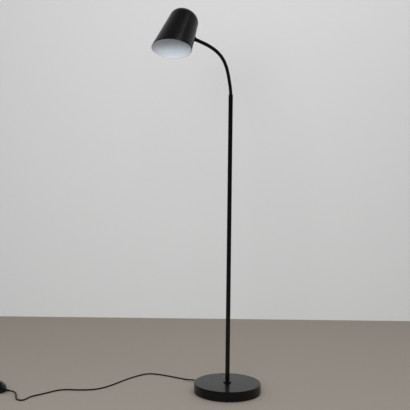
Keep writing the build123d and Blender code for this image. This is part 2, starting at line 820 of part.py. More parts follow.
# least gap between the coil's turns, on points along it
coil_points = [coil_route @ (step / 900) for step in range(901)]
apart = round(900 * 3 * coil_pitch / coil_route.length)
least = min(
    (coil_points[i] - coil_points[j]).length
    for i in range(0, 901, 2)
    for j in range(i + apart, 901)
)
print(f"coil length {coil_route.length:.1f}, least gap {least - 2 * lead_radius:.2f}")

# tie: a closed strap round all the turns
tie_turn = (tie_azimuth - coil_bearing) / 360 % 1
tie_inner = coil_core_radius - lead_radius - tie_clearance
tie_outer = coil_outer_radius - coil_pitch * tie_turn + lead_radius + tie_clearance
tie_bottom = lead_lie + coil_lift - lead_radius - tie_slack
tie_top = lead_lie + coil_lift + coil_pitch + lead_radius + tie_clearance
with BuildPart() as cord_tie:
    with BuildSketch(Plane(coil_centre, x_dir=polar(tie_azimuth, 1), z_dir=polar(tie_azimuth - 90, 1))):
        with Locations(((tie_inner + tie_outer) / 2, (tie_bottom + tie_top) / 2)):
            window_width, window_height = tie_outer - tie_inner, tie_top - tie_bottom
            RectangleRounded(
                window_width + 2 * tie_thickness,
                window_height + 2 * tie_thickness,
                tie_corner + tie_thickness,
            )
            RectangleRounded(window_width, window_height, tie_corner, mode=Mode.SUBTRACT)
    extrude(amount=tie_width / 2, both=True)
cord_tie.part.label = "cord_tie"
export_step(cord_tie.part, "parts/cord_tie.step")

# ================ plug ================
plug_plane = Plane(plug_tip, x_dir=plug_heading.cross(Vector(0, 0, 1)), z_dir=plug_heading)
with BuildPart() as plug_relief:
    with BuildSketch(plug_plane):
        Circle(relief_tip_radius)
    with BuildSketch(plug_plane.offset(plug_relief_length)):
        Circle(relief_root_radius)
    loft()
plug_relief.part.label = "plug_relief"
export_step(plug_relief.part, "parts/plug_relief.step")

with BuildPart() as plug_body:
    with BuildSketch(plug_plane.offset(plug_relief_length)):
        RectangleRounded(plug_neck_width, plug_neck_height, plug_corner)
    with BuildSketch(plug_plane.offset(plug_relief_length + plug_taper_length)):
        RectangleRounded(plug_width, plug_height, plug_corner)
    loft()
    with BuildSketch(plug_plane.offset(plug_relief_length + plug_taper_length)):
        RectangleRounded(plug_width, plug_height, plug_corner)
    extrude(amount=plug_length - plug_taper_length)
    chamfer(plug_body.faces().sort_by(Axis(plug_tip, plug_heading))[-1].edges(), 0.8)
    with BuildSketch(plug_plane.offset(plug_relief_length + plug_length)):
        with GridLocations(pin_spacing, 0, 2, 1):
            Circle(pin_radius)
    extrude(amount=-pin_seat, mode=Mode.SUBTRACT)
plug_body.part.label = "plug_body"
export_step(plug_body.part, "parts/plug_body.step")

with BuildPart() as plug_pins:
    with BuildSketch(plug_plane.offset(plug_relief_length + plug_length - pin_seat)):
        with GridLocations(pin_spacing, 0, 2, 1):
            Circle(pin_radius)
    extrude(amount=pin_seat + pin_length)
    chamfer(plug_pins.faces().group_by(Axis(plug_tip, plug_heading))[-1].edges(), 0.8)
plug_pins.part.label = "plug_pins"
export_step(plug_pins.part, "parts/plug_pins.step")

# ================ foot switch ================
floor_top = foot_height + switch_floor


def switch_wall_plane(side):
    """Plane on the switch's round wall, facing out along (1) or against (-1) its heading."""
    place = switch_plane.from_local_coords((side * switch_radius, 0, switch_lead_height))
    return Plane(place, x_dir=(0, 0, 1), z_dir=heading * side)



with BuildPart() as switch_feet:
    with BuildSketch(switch_plane):
        with PolarLocations(foot_circle_radius, 4, start_angle=45):
            Circle(foot_radius)
    extrude(amount=foot_height)
switch_feet.part.label = "switch_feet"
export_step(switch_feet.part, "parts/switch_feet.step")

with BuildPart() as switch_base:
    with BuildSketch(switch_plane.offset(foot_height)):
        Circle(switch_radius)
    extrude(amount=switch_floor)
    chamfer(switch_base.edges().group_by(Axis.Z)[0], 0.8)
    with BuildSketch(switch_plane.offset(foot_height)):
        with PolarLocations(boss_circle_radius, 3, start_angle=90):
            Circle(screw_head_radius + relief_fit)
    extrude(amount=screw_head_height, mode=Mode.SUBTRACT)
    with BuildSketch(switch_plane.offset(foot_height)):
        with PolarLocations(boss_circle_radius, 3, start_angle=90):
            Circle(screw_radius + relief_fit)
    extrude(amount=switch_floor, mode=Mode.SUBTRACT)
switch_base.part.label = "switch_base"
export_step(switch_base.part, "parts/switch_base.step")

with BuildPart() as switch_screws:
    with BuildSketch(switch_plane.offset(foot_height)):
        with PolarLocations(boss_circle_radius, 3, start_angle=90):
            Circle(screw_head_radius)
    extrude(amount=screw_head_height)
    with BuildSketch(switch_plane.offset(foot_height)):
        with PolarLocations(boss_circle_radius, 3, start_angle=90):
            Circle(screw_radius)
    extrude(amount=screw_length)
switch_screws.part.label = "switch_screws"
export_step(switch_screws.part, "parts/switch_screws.step")

housing_section = Plane(switch_plane.origin, x_dir=switch_plane.x_dir, z_dir=switch_plane.y_dir * -1)
switch_axis = Axis(switch_plane.origin, (0, 0, 1))
dome_width, dome_height = switch_radius - switch_ring_radius, switch_height - switch_shoulder
dome_radius = (dome_width**2 + dome_height**2) / (2 * dome_width)


def housing_half(inset):
    """Half section of the housing's form, this far inside its outer face."""
    arc_end = degrees(asin((dome_height - inset) / (dome_radius - inset)))
    with BuildSketch(housing_section) as section:
        with BuildLine():
            dome_middle = (switch_radius - dome_radius, switch_shoulder)
            dome = CenterArc(dome_middle, dome_radius - inset, 0, arc_end)
            Polyline(
                dome @ 1,
                (0, switch_height - inset),
                (0, floor_top),
                (switch_radius - inset, floor_top),
                dome @ 0,
            )
        make_face()
    return section.sketch


with BuildPart() as switch_housing:
    revolve(housing_half(0), axis=switch_axis)
    housing_form = switch_housing.part
    revolve(housing_half(switch_wall), axis=switch_axis, mode=Mode.SUBTRACT)
    with BuildSketch(switch_plane.offset(floor_top)):
        with PolarLocations(boss_circle_radius, 3, start_angle=90):
            Circle(boss_radius)
    bosses = extrude(amount=switch_height, mode=Mode.PRIVATE)
    add(bosses & housing_form)
    with BuildSketch(switch_plane.offset(floor_top)):
        with PolarLocations(boss_circle_radius, 3, start_angle=90):
            Circle(screw_radius + thread_clearance)
    extrude(amount=screw_length, mode=Mode.SUBTRACT)
    with BuildSketch(switch_plane.offset(switch_height)):
        Circle(button_radius + button_gap)
    extrude(amount=-2 * switch_wall, mode=Mode.SUBTRACT)
    for side in (1, -1):
        with BuildSketch(switch_wall_plane(side)):
            Circle(relief_neck_radius + relief_fit)
        extrude(amount=2 * switch_wall, both=True, mode=Mode.SUBTRACT)
switch_housing.part.label = "switch_housing"
export_step(switch_housing.part, "parts/switch_housing.step")

for side, name in ((-1, "switch_relief_in"), (1, "switch_relief_out")):
    wall = switch_wall_plane(side)
    with BuildPart() as switch_relief:
        with BuildSketch(wall.offset(-switch_wall - relief_setback)):
            Circle(relief_root_radius)
        extrude(amount=-relief_flange)
        with BuildSketch(wall.offset(-switch_wall - relief_setback)):
            Circle(relief_neck_radius)
        extrude(amount=switch_wall + relief_setback + relief_fit)
        with BuildSketch(wall.offset(relief_fit)):
            Circle(relief_root_radius)
        with BuildSketch(wall.offset(switch_relief_length)):
            Circle(relief_tip_radius)
        loft()
    switch_relief.part.label = name
    export_step(switch_relief.part, f"parts/{name}.step")

with BuildPart() as switch_block:
    with BuildSketch(switch_plane.offset(floor_top)):
        RectangleRounded(block_length, block_width, 1.0)
    extrude(amount=block_height)
switch_block.part.label = "switch_block"
export_step(switch_block.part, "parts/switch_block.step")

# button: a domed cap with a flange that stops under the housing, and a stem over the block
flange_top = switch_height - switch_wall - button_stop_gap
block_top = floor_top + block_height
button_ceiling = button_top - button_wall
flange_bottom = flange_top - button_flange_height


def button_half(inset):
    """Half section of the button's cap, this far inside its outer face."""
    corner = (button_radius - inset, button_top - inset)
    with BuildSketch(housing_section) as section:
        with BuildLine():
            Polyline((0, flange_bottom), (corner[0], flange_bottom), corner, (0, corner[1]), close=True)
        make_face()
        fillet(section.vertices().sort_by_distance(housing_section.from_local_coords(corner))[0],
               button_edge_radius - inset)
    return section.sketch


with BuildPart() as switch_button:
    revolve(button_half(0), axis=switch_axis)
    revolve(button_half(button_wall), axis=switch_axis, mode=Mode.SUBTRACT)
    with BuildSketch(switch_plane.offset(flange_bottom)):
        Circle(button_radius + button_flange)
        Circle(button_radius - button_wall, mode=Mode.SUBTRACT)
    extrude(amount=button_flange_height)
    with BuildSketch(switch_plane.offset(block_top + button_travel + button_gap)):
        Circle(button_pin_radius)
    extrude(amount=button_ceiling - block_top - button_travel - button_gap)
switch_button.part.label = "switch_button"
export_step(switch_button.part, "parts/switch_button.step")

# return spring round the stem, from the block to the button's underside
spring_centre = Vector(switch_x, switch_y)
spring_bottom = block_top + spring_wire_radius + thread_clearance
spring_height = button_ceiling - spring_wire_radius - thread_clearance - spring_bottom


def spring_point(turn):
    """Centre of the wire, this many turns up the spring."""
    rise = spring_height * turn / spring_turns
    return spring_centre + polar(360 * turn, spring_radius, spring_bottom + rise)


spring_route = arc_route([knot_on(spring_point, quarter / 4) for quarter in range(4 * spring_turns + 1)])
with BuildPart() as switch_spring:
    with BuildSketch(Plane(spring_route @ 0, z_dir=spring_route % 0)):
        Circle(spring_wire_radius)
    sweep(path=spring_route)
switch_spring.part.label = "switch_spring"
export_step(switch_spring.part, "parts/switch_spring.step")
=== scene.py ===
import json
from math import atan2, cos, pi, radians, sin, sqrt, tan

import bpy
from mathutils import Matrix, Vector


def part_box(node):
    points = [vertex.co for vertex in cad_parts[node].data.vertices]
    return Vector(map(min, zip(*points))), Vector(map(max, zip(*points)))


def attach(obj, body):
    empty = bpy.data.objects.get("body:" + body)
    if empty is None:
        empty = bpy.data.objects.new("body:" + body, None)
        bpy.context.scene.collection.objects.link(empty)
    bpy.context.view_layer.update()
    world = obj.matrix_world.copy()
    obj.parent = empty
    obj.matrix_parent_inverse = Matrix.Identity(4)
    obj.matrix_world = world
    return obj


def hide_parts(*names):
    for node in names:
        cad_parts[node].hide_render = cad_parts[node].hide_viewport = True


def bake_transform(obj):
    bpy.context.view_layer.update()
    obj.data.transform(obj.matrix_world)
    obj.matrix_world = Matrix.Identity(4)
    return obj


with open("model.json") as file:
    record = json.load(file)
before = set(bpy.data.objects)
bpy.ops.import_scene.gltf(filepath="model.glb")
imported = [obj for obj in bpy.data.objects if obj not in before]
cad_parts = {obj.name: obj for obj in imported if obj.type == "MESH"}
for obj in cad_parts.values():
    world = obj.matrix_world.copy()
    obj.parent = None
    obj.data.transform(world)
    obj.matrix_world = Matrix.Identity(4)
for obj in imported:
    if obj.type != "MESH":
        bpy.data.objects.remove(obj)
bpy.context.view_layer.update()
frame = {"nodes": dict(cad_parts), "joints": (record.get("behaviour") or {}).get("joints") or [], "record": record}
nodes = frame["nodes"]
mounts = {mount["name"]: mount for mount in frame["record"]["mounts"]}
mergeWithin = 0.00001         # vertices closer than this are one
print("frame loaded,", len(nodes), "nodes")


# helpers for modelling

def polar(azimuth, radius, height=0.0):
    return Vector((radius * cos(radians(azimuth)), radius * sin(radians(azimuth)), height))


def startPiece(name):
    # names the primitive that was just added and gives it the selection to itself
    piece = bpy.context.object
    piece.name = name
    piece.data.name = name
    return piece


def clearSelection():
    if bpy.context.object and bpy.context.object.mode != "OBJECT":
        bpy.ops.object.mode_set(mode="OBJECT")
    bpy.ops.object.select_all(action="DESELECT")


def pick(piece):
    clearSelection()
    piece.select_set(True)
    bpy.context.view_layer.objects.active = piece


def applyAll(piece):
    pick(piece)
    for modifier in list(piece.modifiers):
        bpy.ops.object.modifier_apply(modifier=modifier.name)


def settle(piece, place=None):
    # puts the piece's place into its mesh, so its object stays at the origin
    pick(piece)
    if place is not None:
        piece.matrix_world = place
    bpy.ops.object.transform_apply(location=True, rotation=True, scale=True)


def growRings(rings, sides, name, closeTop=False, closeFoot=False):
    # a round form drawn up from its lowest ring: each ring is extruded from the one below
    clearSelection()
    height, radius = rings[0]
    bpy.ops.mesh.primitive_circle_add(vertices=sides, radius=radius, location=(0, 0, height))
    piece = startPiece(name)
    bpy.ops.object.transform_apply(location=True, rotation=False, scale=False)
    bpy.ops.object.mode_set(mode="EDIT")
    bpy.ops.mesh.select_all(action="SELECT")
    for nextHeight, nextRadius in rings[1:]:
        rise = nextHeight - height
        bpy.ops.mesh.extrude_region_move(TRANSFORM_OT_translate={"value": (0, 0, rise)})
        share = nextRadius / radius
        bpy.ops.transform.resize(value=(share, share, 1), center_override=(0, 0, nextHeight))
        height, radius = nextHeight, nextRadius
    if closeTop:
        bpy.ops.mesh.extrude_region_move(TRANSFORM_OT_translate={"value": (0, 0, 0)})
        bpy.ops.mesh.merge(type="CENTER")
    if closeFoot:
        bpy.ops.mesh.select_all(action="DESELECT")
        bpy.ops.mesh.select_non_manifold()
        bpy.ops.mesh.edge_face_add()
    bpy.ops.object.mode_set(mode="OBJECT")
    return piece


def faceOutwards(piece):
    pick(piece)
    bpy.ops.object.mode_set(mode="EDIT")
    bpy.ops.mesh.select_all(action="SELECT")
    bpy.ops.mesh.remove_doubles(threshold=mergeWithin)
    bpy.ops.mesh.normals_make_consistent(inside=False)
    bpy.ops.object.mode_set(mode="OBJECT")


def closeEnds(piece):
    # fills every open edge loop, so the piece is a closed form
    pick(piece)
    bpy.ops.object.mode_set(mode="EDIT")
    bpy.ops.mesh.select_all(action="SELECT")
    bpy.ops.mesh.fill_holes(sides=0)
    bpy.ops.object.mode_set(mode="OBJECT")


def pointing(place, direction):
    # a place whose own Z runs along the direction
    return Matrix.Translation(place) @ direction.to_track_quat("Z", "Y").to_matrix().to_4x4()


def alongAxes(place, across, beside, up):
    # a place whose own X, Y and Z run along the three directions
    return Matrix.Translation(place) @ Matrix((across, beside, up)).transposed().to_4x4()


def smoothOver(piece, angle):
    pick(piece)
    bpy.ops.object.shade_smooth_by_angle(angle=radians(angle))


cameraSettings = {
    "height": 0.672,          # above the floor
    "distance": 2.182,        # to the pole, along the view
    "aside": 0.088,           # the pole stands this far right of the middle
    "bearing": 30.0,          # turn of the picture against the lamp's own plane
    "roll": 0.68,
    "lens": 53.2,
    "sensor": 36.0,
    "seesUpTo": 50,
}


def makeCamera(settings):
    turn, roll = radians(settings["bearing"]), radians(settings["roll"])
    right = Vector((cos(turn), -sin(turn), 0))
    ahead = Vector((sin(turn), cos(turn), 0))
    place = -ahead * settings["distance"] - right * settings["aside"]
    place.z = settings["height"]
    across = right * cos(roll) + Vector((0, 0, 1)) * sin(roll)
    up = Vector((0, 0, 1)) * cos(roll) - right * sin(roll)
    cameraData = bpy.data.cameras.new("camera")
    cameraData.lens = settings["lens"]
    cameraData.sensor_width = settings["sensor"]
    cameraData.clip_end = settings["seesUpTo"]
    camera = bpy.data.objects.new("camera", cameraData)
    bpy.context.scene.collection.objects.link(camera)
    camera.matrix_world = alongAxes(place, across, up, -ahead)
    bpy.context.scene.camera = camera
    return place, ahead, right


cameraPlace, viewAhead, viewRight = makeCamera(cameraSettings)
print("camera placed")


leadSettings = {
    "radius": 0.0026,
    "lie": 0.0027,            # height of its centre where it lies on the floor
    "exitBearing": 107.0,
    "baseEdge": 0.120,        # from the base's middle, as the relief's tip is
    "reliefTip": 0.147,
    "exitHeight": 0.0085,
    "straight": 0.023,        # straight stretch at a strain relief
    "switchMiddle": (-0.727, 0.387),
    "switchBearing": 130.0,
    "switchEdge": 0.036,      # from the switch's middle, as its relief's tip is
    "switchReach": 0.056,
    "switchHeight": 0.010,
    "outletRun": (0.014, 0.032, 0.052),   # past the outlet's tip, while the lead comes down
    "outletFall": 0.0044,     # how far down it is by the second of them
    "coilLeadIn": 0.075,
    "coilCore": 0.02125,
    "coilPitch": 0.0058,
    "coilTurns": 4.5,
    "coilLift": 0.00095,
    "coilClimbFrom": 2.0,
    "coilLeadOut": 0.035,
    "coilRun": 0.012,         # straight stretch after the last turn
    "plugRun": 0.006,         # straight stretch before the plug
    "plugHeight": 0.0069,
    "plugDepth": 0.022,       # from the lead's end to the plug's back
    "pointsPerTurn": 16,
    "roundness": 5,
    "order": 3,
    "stepsPerPoint": 8,
}


def makeCord(name, points, radius):
    curve = bpy.data.curves.new(name, "CURVE")
    curve.dimensions = "3D"
    curve.bevel_depth = 1      # the points carry the radius, which keeps the curve's box true
    curve.bevel_resolution = leadSettings["roundness"]
    curve.use_fill_caps = True
    spline = curve.splines.new("NURBS")
    spline.points.add(len(points) - 1)
    for point, place in zip(spline.points, points):
        point.co = (*place, 1)
        point.radius = radius
    spline.order_u = leadSettings["order"]
    spline.use_endpoint_u = True
    spline.resolution_u = leadSettings["stepsPerPoint"]
    cord = bpy.data.objects.new(name, curve)
    bpy.context.scene.collection.objects.link(cord)
    return cord


exitAlong = polar(leadSettings["exitBearing"], 1)
switchAlong = polar(leadSettings["switchBearing"], 1)
switchMiddle = Vector((*leadSettings["switchMiddle"], leadSettings["switchHeight"]))
baseTip = polar(leadSettings["exitBearing"], leadSettings["reliefTip"], leadSettings["exitHeight"])
inletTip = switchMiddle - switchAlong * leadSettings["switchReach"]
outletTip = switchMiddle + switchAlong * leadSettings["switchReach"]
lie = leadSettings["lie"]
# the lead's way over the floor, from the base to the switch
floorPoints = [
    baseTip,
    baseTip + polar(leadSettings["exitBearing"], leadSettings["straight"]),
    (-0.061, 0.191, 0.0036),
    (-0.079, 0.229, lie),
    (-0.104, 0.276, lie),
    (-0.135, 0.322, lie),
    (-0.161, 0.338, lie),
    (-0.191, 0.333, lie),
    (-0.240, 0.316, lie),
    (-0.295, 0.287, lie),
    (-0.346, 0.257, lie),
    (-0.390, 0.241, lie),
    (-0.428, 0.243, lie),
    (-0.465, 0.261, lie),
    (-0.500, 0.286, lie),
    (-0.531, 0.294, lie),
    (-0.562, 0.285, lie),
    (-0.594, 0.275, lie),
    (-0.622, 0.270, lie),
    (-0.640, 0.262, lie),
    (-0.6545, 0.2475, lie),
    (-0.6695, 0.2385, lie),
    (-0.6815, 0.2485, lie),
    (-0.6840, 0.270, lie),
    (-0.6765, 0.297, 0.0054),
    inletTip - switchAlong * leadSettings["straight"],
    inletTip,
]
floorCord = makeCord("floorCord", floorPoints, leadSettings["radius"])
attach(floorCord, "stand")
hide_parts("cord_run_a")


def coilPoints(settings, start):
    # a flat coil that winds inwards, climbs onto its own turns and winds out again over them
    bearing = settings["switchBearing"] - 90
    halfTurns = settings["coilTurns"] / 2
    outer = settings["coilCore"] + settings["coilPitch"] * halfTurns
    middle = start - polar(bearing, outer, start.z)
    steps = round(settings["coilTurns"] * settings["pointsPerTurn"])
    outset = 2 / (1 + cos(pi / settings["pointsPerTurn"]))   # the spline cuts inside its points
    points = []
    for step in range(steps + 1):
        turn = step / settings["pointsPerTurn"]
        radius = settings["coilCore"] + settings["coilPitch"] * abs(turn - halfTurns)
        rise = min(4 * turn, 1)
        climb = min(max(2 * (turn - settings["coilClimbFrom"]), 0), 1)
        height = start.z + settings["coilLift"] * rise**2 * (3 - 2 * rise)
        height += settings["coilPitch"] * climb**2 * (3 - 2 * climb)
        points.append(middle + polar(bearing + 360 * turn, radius * outset, height))
    return points, polar(bearing + 360 * settings["coilTurns"] + 90, 1)


stub = 2 * leadSettings["radius"]
coilStart = Vector((outletTip.x, outletTip.y, lie)) + switchAlong * leadSettings["coilLeadIn"]
turnPoints, plugAlong = coilPoints(leadSettings, coilStart)
coilEnd = turnPoints[-1]
plugTip = coilEnd + plugAlong * leadSettings["coilLeadOut"]
plugTip.z = leadSettings["plugHeight"]
nearRun, midRun, farRun = leadSettings["outletRun"]
coilCordPoints = [
    outletTip,
    outletTip + switchAlong * nearRun,
    outletTip + switchAlong * midRun - Vector((0, 0, leadSettings["outletFall"])),
    outletTip + switchAlong * farRun - Vector((0, 0, leadSettings["switchHeight"] - lie)),
    coilStart - switchAlong * stub,
    *turnPoints,
    coilEnd + plugAlong * leadSettings["coilRun"],
    plugTip - plugAlong * stub - plugAlong * leadSettings["plugRun"],
    plugTip - plugAlong * stub,
    plugTip,
]
coilCord = makeCord("coilCord", coilCordPoints, leadSettings["radius"])
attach(coilCord, "stand")
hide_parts("cord_run_b", "cord_coil")


baseWall = polar(leadSettings["exitBearing"], leadSettings["baseEdge"], leadSettings["exitHeight"])
inletWall = switchMiddle - switchAlong * leadSettings["switchEdge"]
outletWall = switchMiddle + switchAlong * leadSettings["switchEdge"]
plugWall = plugTip + plugAlong * leadSettings["plugDepth"]
reliefSettings = {
    "flangeRadius": 0.0052,
    "flangeDepth": 0.0013,
    "neckRadius": 0.0042,
    "rootRadius": 0.0052,
    "tipRadius": 0.0033,
    "gap": 0.0002,            # between the wall and the tail's root
    "collar": 0.0035,         # plain length at the root
    "nose": 0.0022,           # plain length at the tip
    "slotDepth": 0.00065,
    "slotShare": 0.38,
    "slotEdge": 0.0001,       # length over which a slot's wall rises
    "tipRound": 0.0004,
    "sides": 32,
    "smoothUpTo": 35,
    # name: node it stands for, its wall's outside, direction, tail length, depth of its seat, ribs
    "places": {
        "leadRelief": ("lead_relief", baseWall, exitAlong, 0.027, 0.0017, 7),
        "switchReliefIn": ("switch_relief_in", inletWall, -switchAlong, 0.020, 0.0031, 5),
        "switchReliefOut": ("switch_relief_out", outletWall, switchAlong, 0.020, 0.0031, 5),
        "plugRelief": ("plug_relief", plugWall, -plugAlong, 0.022, 0, 5),
    },
}


def makeRelief(name, settings):
    # a flange and a neck that sit in the wall, then a ribbed tail that narrows round the lead
    node, place, direction, length, seat, ribs = settings["places"][name]
    root, tip = settings["rootRadius"], settings["tipRadius"]

    def tail(z):
        return root + (tip - root) * z / length

    flange, neck = settings["flangeRadius"], settings["neckRadius"]
    collar, depth, edge = settings["collar"], settings["slotDepth"], settings["slotEdge"]
    start = settings["gap"] if seat else 0
    rings = []
    if seat:
        rings += [(-seat - settings["flangeDepth"], flange), (-seat, flange), (-seat, neck), (start, neck)]
    rings += [(start, tail(start)), (collar, tail(collar))]
    pitch = (length - collar - settings["nose"]) / ribs
    for rib in range(ribs):
        low = collar + pitch * rib
        slotEnd = low + pitch * settings["slotShare"]
        rings += [(low + edge, tail(low) - depth), (slotEnd, tail(slotEnd) - depth),
                  (slotEnd + edge, tail(slotEnd)), (low + pitch, tail(low + pitch))]
    rings += [(length - settings["tipRound"], tail(length)), (length, tip - settings["tipRound"])]
    relief = growRings(rings, settings["sides"], name, closeTop=True, closeFoot=True)
    faceOutwards(relief)
    settle(relief, pointing(place, direction))
    smoothOver(relief, settings["smoothUpTo"])
    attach(relief, "stand")
    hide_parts(node)
    return relief


reliefs = {name: makeRelief(name, reliefSettings) for name in reliefSettings["places"]}

tieSettings = {
    "bearing": 130.0,
    "width": 0.007,
    "thickness": 0.0009,
    "corner": 0.0024,
    "cornerSteps": 6,
    "edgeSteps": 2,
    "edgesOver": 60,          # sharper edges than this are rounded
    "smoothUpTo": 40,
}


def makeTie(settings):
    # a band bent round the coil's turns: a box without two of its sides, its corners rounded
    low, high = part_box("cord_tie")
    middle = (low + high) / 2
    along = polar(settings["bearing"], 1)
    across = polar(settings["bearing"] - 90, 1)
    corner = high - middle
    span = (corner.x + corner.y) * 2 / (abs(along.x) + abs(along.y)) - settings["width"]
    rise = high.z - low.z
    clearSelection()
    bpy.ops.mesh.primitive_cube_add(size=1)
    tie = startPiece("cordTie")
    tie.scale = (span - settings["thickness"], settings["width"], rise - settings["thickness"])
    settle(tie)
    bpy.ops.object.mode_set(mode="EDIT")
    bpy.ops.mesh.select_mode(type="FACE")
    bpy.ops.mesh.select_all(action="DESELECT")
    bpy.ops.object.mode_set(mode="OBJECT")
    for face in tie.data.polygons:
        face.select = abs(face.normal.y) > 0.9
    bpy.ops.object.mode_set(mode="EDIT")
    bpy.ops.mesh.delete(type="ONLY_FACE")
    bpy.ops.mesh.select_mode(type="EDGE")
    bpy.ops.mesh.select_all(action="DESELECT")
    bpy.ops.object.mode_set(mode="OBJECT")
    for edge in tie.data.edges:
        first, last = (tie.data.vertices[index].co for index in edge.vertices)
        edge.select = abs(first.y - last.y) > settings["width"] / 2
    bpy.ops.object.mode_set(mode="EDIT")
    bpy.ops.mesh.bevel(offset=settings["corner"], segments=settings["cornerSteps"])
    bpy.ops.mesh.select_mode(type="VERT")
    bpy.ops.object.mode_set(mode="OBJECT")
    band = tie.modifiers.new("band", "SOLIDIFY")
    band.thickness = settings["thickness"]
    band.offset = 0
    edges = tie.modifiers.new("edges", "BEVEL")
    edges.width = settings["thickness"] / 4
    edges.segments = settings["edgeSteps"]
    edges.limit_method = "ANGLE"
    edges.angle_limit = radians(settings["edgesOver"])
    applyAll(tie)
    settle(tie, alongAxes(middle, along, across, Vector((0, 0, 1))))
    faceOutwards(tie)
    smoothOver(tie, settings["smoothUpTo"])
    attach(tie, "stand")
    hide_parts("cord_tie")
    return tie


cordTie = makeTie(tieSettings)
print("leads laid")


mottling = {
    "mottleDetail": 4,
    "grainDetail": 3,
    "darkUpTo": 0.3,          # shares of the noise that are all dark, and from which all is light
    "lightFrom": 0.7,
    "plainSpecular": 0.5,
}


def finish(name, look):
    # one procedural surface: a mottled colour, an uneven roughness and a fine bump
    material = bpy.data.materials.new(name)
    material.use_nodes = True
    tree = material.node_tree
    shader = tree.nodes["Principled BSDF"]
    place = tree.nodes.new("ShaderNodeTexCoord")
    mottle = tree.nodes.new("ShaderNodeTexNoise")
    mottle.inputs["Scale"].default_value = look["mottleScale"]
    mottle.inputs["Detail"].default_value = mottling["mottleDetail"]
    tree.links.new(place.outputs["Object"], mottle.inputs["Vector"])
    shades = tree.nodes.new("ShaderNodeValToRGB")
    shades.color_ramp.elements[0].position = mottling["darkUpTo"]
    shades.color_ramp.elements[1].position = mottling["lightFrom"]
    shades.color_ramp.elements[0].color = (*look["dark"], 1)
    shades.color_ramp.elements[1].color = (*look["light"], 1)
    tree.links.new(mottle.outputs["Fac"], shades.inputs["Fac"])
    tree.links.new(shades.outputs["Color"], shader.inputs["Base Color"])
    grain = tree.nodes.new("ShaderNodeTexNoise")
    grain.inputs["Scale"].default_value = look["grainScale"]
    grain.inputs["Detail"].default_value = mottling["grainDetail"]
    tree.links.new(place.outputs["Object"], grain.inputs["Vector"])
    uneven = tree.nodes.new("ShaderNodeMapRange")
    uneven.inputs["To Min"].default_value = look["roughness"][0]
    uneven.inputs["To Max"].default_value = look["roughness"][1]
    tree.links.new(mottle.outputs["Fac"], uneven.inputs["Value"])
    tree.links.new(uneven.outputs["Result"], shader.inputs["Roughness"])
    bump = tree.nodes.new("ShaderNodeBump")
    bump.inputs["Strength"].default_value = look["bump"]
    bump.inputs["Distance"].default_value = look["bumpDepth"]
    tree.links.new(grain.outputs["Fac"], bump.inputs["Height"])
    tree.links.new(bump.outputs["Normal"], shader.inputs["Normal"])
    shader.inputs["Metallic"].default_value = look.get("metal", 0)
    shader.inputs["Specular IOR Level"].default_value = look.get("specular", mottling["plainSpecular"])
    return material


finishes = {
    "powderCoat": {"dark": (0.0050, 0.0050, 0.0055), "light": (0.0068, 0.0068, 0.0074), "mottleScale": 30,
                   "grainScale": 2600, "roughness": (0.30, 0.38), "bump": 0.25, "bumpDepth": 0.00005,
                   "specular": 0.28},
    # the same black coat as the shade's, painted darker as shade to stand for the lesser light on the base, pole
    # and gooseneck
    "shadedBlackCoat": {"dark": (0.0028, 0.0028, 0.0030), "light": (0.0042, 0.0042, 0.0045), "mottleScale": 24,
                 "grainScale": 2200, "roughness": (0.22, 0.30), "bump": 0.2, "bumpDepth": 0.00005,
                 "specular": 0.2},
    # white inside paint, with a blue cast painted in to stand for cool light falling into the shade
    "shadeInside": {"dark": (0.79, 0.85, 0.93), "light": (0.84, 0.90, 0.97), "mottleScale": 18,
                    "grainScale": 1800, "roughness": (0.5, 0.6), "bump": 0.1, "bumpDepth": 0.00004},
    # black cord skin, partly its own black and partly darkened further as a painted contact shadow where the lead
    # lies on the floor
    "leadSkin": {"dark": (0.0035, 0.0035, 0.004), "light": (0.006, 0.006, 0.0066), "mottleScale": 60,
                 "grainScale": 3000, "roughness": (0.45, 0.55), "bump": 0.2, "bumpDepth": 0.00004,
                 "specular": 0.3},
    "switchPlastic": {"dark": (0.004, 0.0042, 0.005), "light": (0.006, 0.0063, 0.0072), "mottleScale": 50,
                      "grainScale": 2400, "roughness": (0.13, 0.2), "bump": 0.12, "bumpDepth": 0.00004,
                      "specular": 0.25},
    "softRubber": {"dark": (0.006, 0.006, 0.006), "light": (0.010, 0.010, 0.010), "mottleScale": 60,
                   "grainScale": 1500, "roughness": (0.6, 0.75), "bump": 0.3, "bumpDepth": 0.0001,
                   "specular": 0.3},
    "castCement": {"dark": (0.16, 0.155, 0.145), "light": (0.34, 0.33, 0.31), "mottleScale": 70,
                   "grainScale": 500, "roughness": (0.75, 0.9), "bump": 0.6, "bumpDepth": 0.0004},
    "zincPlate": {"dark": (0.5, 0.51, 0.53), "light": (0.62, 0.63, 0.64), "mottleScale": 120,
                  "grainScale": 1500, "roughness": (0.26, 0.4), "bump": 0.1, "bumpDepth": 0.00004,
                  "metal": 1},
    "brass": {"dark": (0.6, 0.43, 0.18), "light": (0.72, 0.55, 0.26), "mottleScale": 120,
              "grainScale": 1500, "roughness": (0.22, 0.34), "bump": 0.1, "bumpDepth": 0.00004,
              "metal": 1},
    "holderWhite": {"dark": (0.72, 0.71, 0.67), "light": (0.78, 0.77, 0.73), "mottleScale": 60,
                    "grainScale": 900, "roughness": (0.35, 0.45), "bump": 0.1, "bumpDepth": 0.00005},
    "shellMetal": {"dark": (0.62, 0.62, 0.6), "light": (0.72, 0.72, 0.7), "mottleScale": 150,
                   "grainScale": 1200, "roughness": (0.25, 0.38), "bump": 0.1, "bumpDepth": 0.00004,
                   "metal": 1},
}
materials = {name: finish(name, look) for name, look in finishes.items()}

